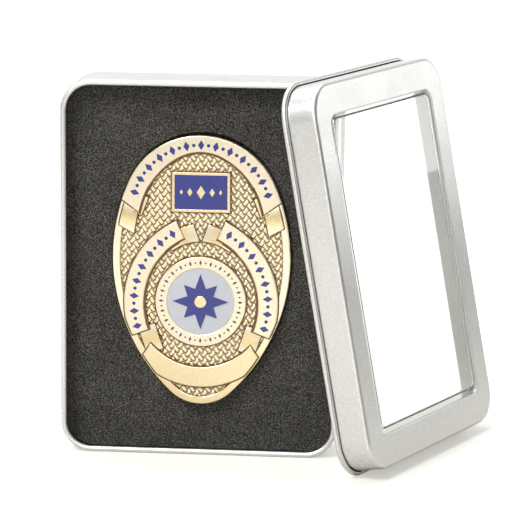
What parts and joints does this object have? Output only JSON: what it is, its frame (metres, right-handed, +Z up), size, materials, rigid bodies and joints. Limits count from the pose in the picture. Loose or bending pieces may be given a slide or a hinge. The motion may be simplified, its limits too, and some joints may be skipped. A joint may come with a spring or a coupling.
{
  "type": "badge case",
  "caption": "Shallow tin tray on its side holding a curved oval gilt badge in dark foam, with its windowed lid lifted off and leaning against its corner.",
  "frame": {"origin": "the middle of the tray's foot, the short side wall that it stands on", "axes": "+Z up, +Y from the tray's open front to its floor, +X to the right of a viewer who looks into the tray"},
  "size_m": [0.1306, 0.0916, 0.1177],
  "materials": {
    "tinplate": "satin, finely grained, silvery",
    "foam": "matt open-celled charcoal foam with fine speckle",
    "gilt": "polished pale gold plating, darker in the recesses",
    "blue_enamel": "smooth glossy deep blue enamel",
    "white_enamel": "smooth glossy white enamel",
    "pin_steel": "plain bright steel",
    "clear_sheet": "clear thin formed sheet, glossy"
  },
  "bodies": {
    "tray": {"tray_shell": "tinplate", "foam_bed": "foam", "foam_backing": "foam"},
    "badge": {"badge_body": "gilt", "woven_field": "gilt", "top_ribbon": "gilt", "top_fold_left": "gilt", "top_fold_right": "gilt", "top_tail_left": "gilt", "top_tail_right": "gilt", "left_ribbon": "gilt", "right_ribbon": "gilt", "upper_tail_left": "gilt", "upper_tail_right": "gilt", "lower_tail_left": "gilt", "lower_tail_right": "gilt", "foot_ribbon": "gilt", "panel_frame": "gilt", "panel_enamel": "blue_enamel", "seal_ring": "gilt", "seal_enamel": "white_enamel", "seal_motif": "blue_enamel", "seal_boss": "gilt", "pin_plate": "pin_steel", "pin_hinge": "pin_steel", "pin_catch": "pin_steel"},
    "pin": {"pin_needle": "pin_steel"},
    "lid": {"lid_shell": "tinplate", "window_pane": "clear_sheet"}
  },
  "joints": [
    {"name": "badge_out", "type": "slide", "parent": "tray", "child": "badge", "axis": [0, -1, 0], "range_m": [0, 0.03]},
    {"name": "needle_hinge", "type": "hinge", "parent": "badge", "child": "pin", "pos_m": [0.0003, -0.00201, 0.07475], "axis": [1, 0, 0], "range_deg": [0, 12]},
    {"name": "lid_off", "type": "slide", "parent": "tray", "child": "lid", "axis": [0.902, -0.3857, 0.1941], "range_m": [0, 0.06]}
  ]
}
